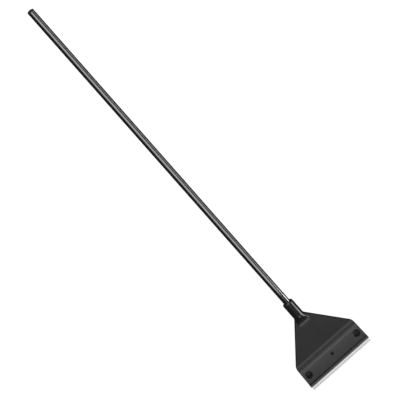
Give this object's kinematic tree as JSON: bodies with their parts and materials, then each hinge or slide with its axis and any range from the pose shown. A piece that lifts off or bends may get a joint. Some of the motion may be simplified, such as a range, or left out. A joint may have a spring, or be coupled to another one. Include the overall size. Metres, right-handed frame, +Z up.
{
  "type": "floor scraper",
  "caption": "Long-handled razor floor scraper: slim black pole screwed into a flat triangular head whose clamp plate holds a wide, replaceable blade.",
  "frame": {"origin": "on the flat back of the head, on its centre rib, 24 mm behind the line where the back starts to bend up", "axes": "+X from the pole's free end towards the blade, +Y across the head, +Z up, away from the surface the tool lies on and out of the clamp plate's side"},
  "size_m": [0.6441, 0.1018, 0.0182],
  "materials": {
    "head_plastic": "satin black moulding, fine texture",
    "plate_plastic": "satin black moulding, fine texture",
    "cap_plastic": "smooth black",
    "pole_paint": "gloss black coat on a steel tube",
    "blade_steel": "ground bright steel",
    "black_steel": "black oxide",
    "zinc_steel": "bright zinc plate",
    "insert_brass": "turned brass"
  },
  "bodies": {
    "head": {"head_body": "head_plastic", "blade": "blade_steel", "locating_pin": "black_steel", "clamp_nut_left": "zinc_steel", "clamp_nut_right": "zinc_steel", "socket_insert": "insert_brass"},
    "clamp": {"clamp_plate": "plate_plastic"},
    "screw_left": {"clamp_screw_left": "black_steel", "spring_washer_left": "zinc_steel"},
    "screw_right": {"clamp_screw_right": "black_steel", "spring_washer_right": "zinc_steel"},
    "pole_lock": {"pole_lock_washer": "zinc_steel"},
    "pole": {"pole_tube": "pole_paint", "pole_end_cap": "cap_plastic", "pole_stud": "zinc_steel"}
  },
  "joints": [
    {"name": "clamp_lift", "type": "slide", "parent": "head", "child": "clamp", "axis": [-0.2588, 0, 0.9659], "range_m": [0, 0.0084]},
    {"name": "screw_left_turn", "type": "hinge", "parent": "clamp", "child": "screw_left", "pos_m": [0.04622, 0.042, 0.01302], "axis": [-0.2588, 0, 0.9659], "range_deg": [0, 4320]},
    {"name": "screw_right_turn", "type": "hinge", "parent": "clamp", "child": "screw_right", "pos_m": [0.04622, -0.042, 0.01302], "axis": [-0.2588, 0, 0.9659], "range_deg": [0, 4320]},
    {"name": "pole_back_out", "type": "slide", "parent": "head", "child": "pole_lock", "axis": [-1, 0, -0.0055], "range_m": [0, 0.015]},
    {"name": "pole_turn", "type": "hinge", "parent": "pole_lock", "child": "pole", "pos_m": [-0.0481, 0, 0.00775], "axis": [-1, 0, -0.0055], "range_deg": [0, 4320]}
  ],
  "couplings": [
    {"joint": "screw_left_turn", "follows": "clamp_lift", "rad_per_m": 8976},
    {"joint": "screw_right_turn", "follows": "clamp_lift", "rad_per_m": 8976},
    {"joint": "pole_turn", "follows": "pole_back_out", "rad_per_m": 5026.5}
  ]
}
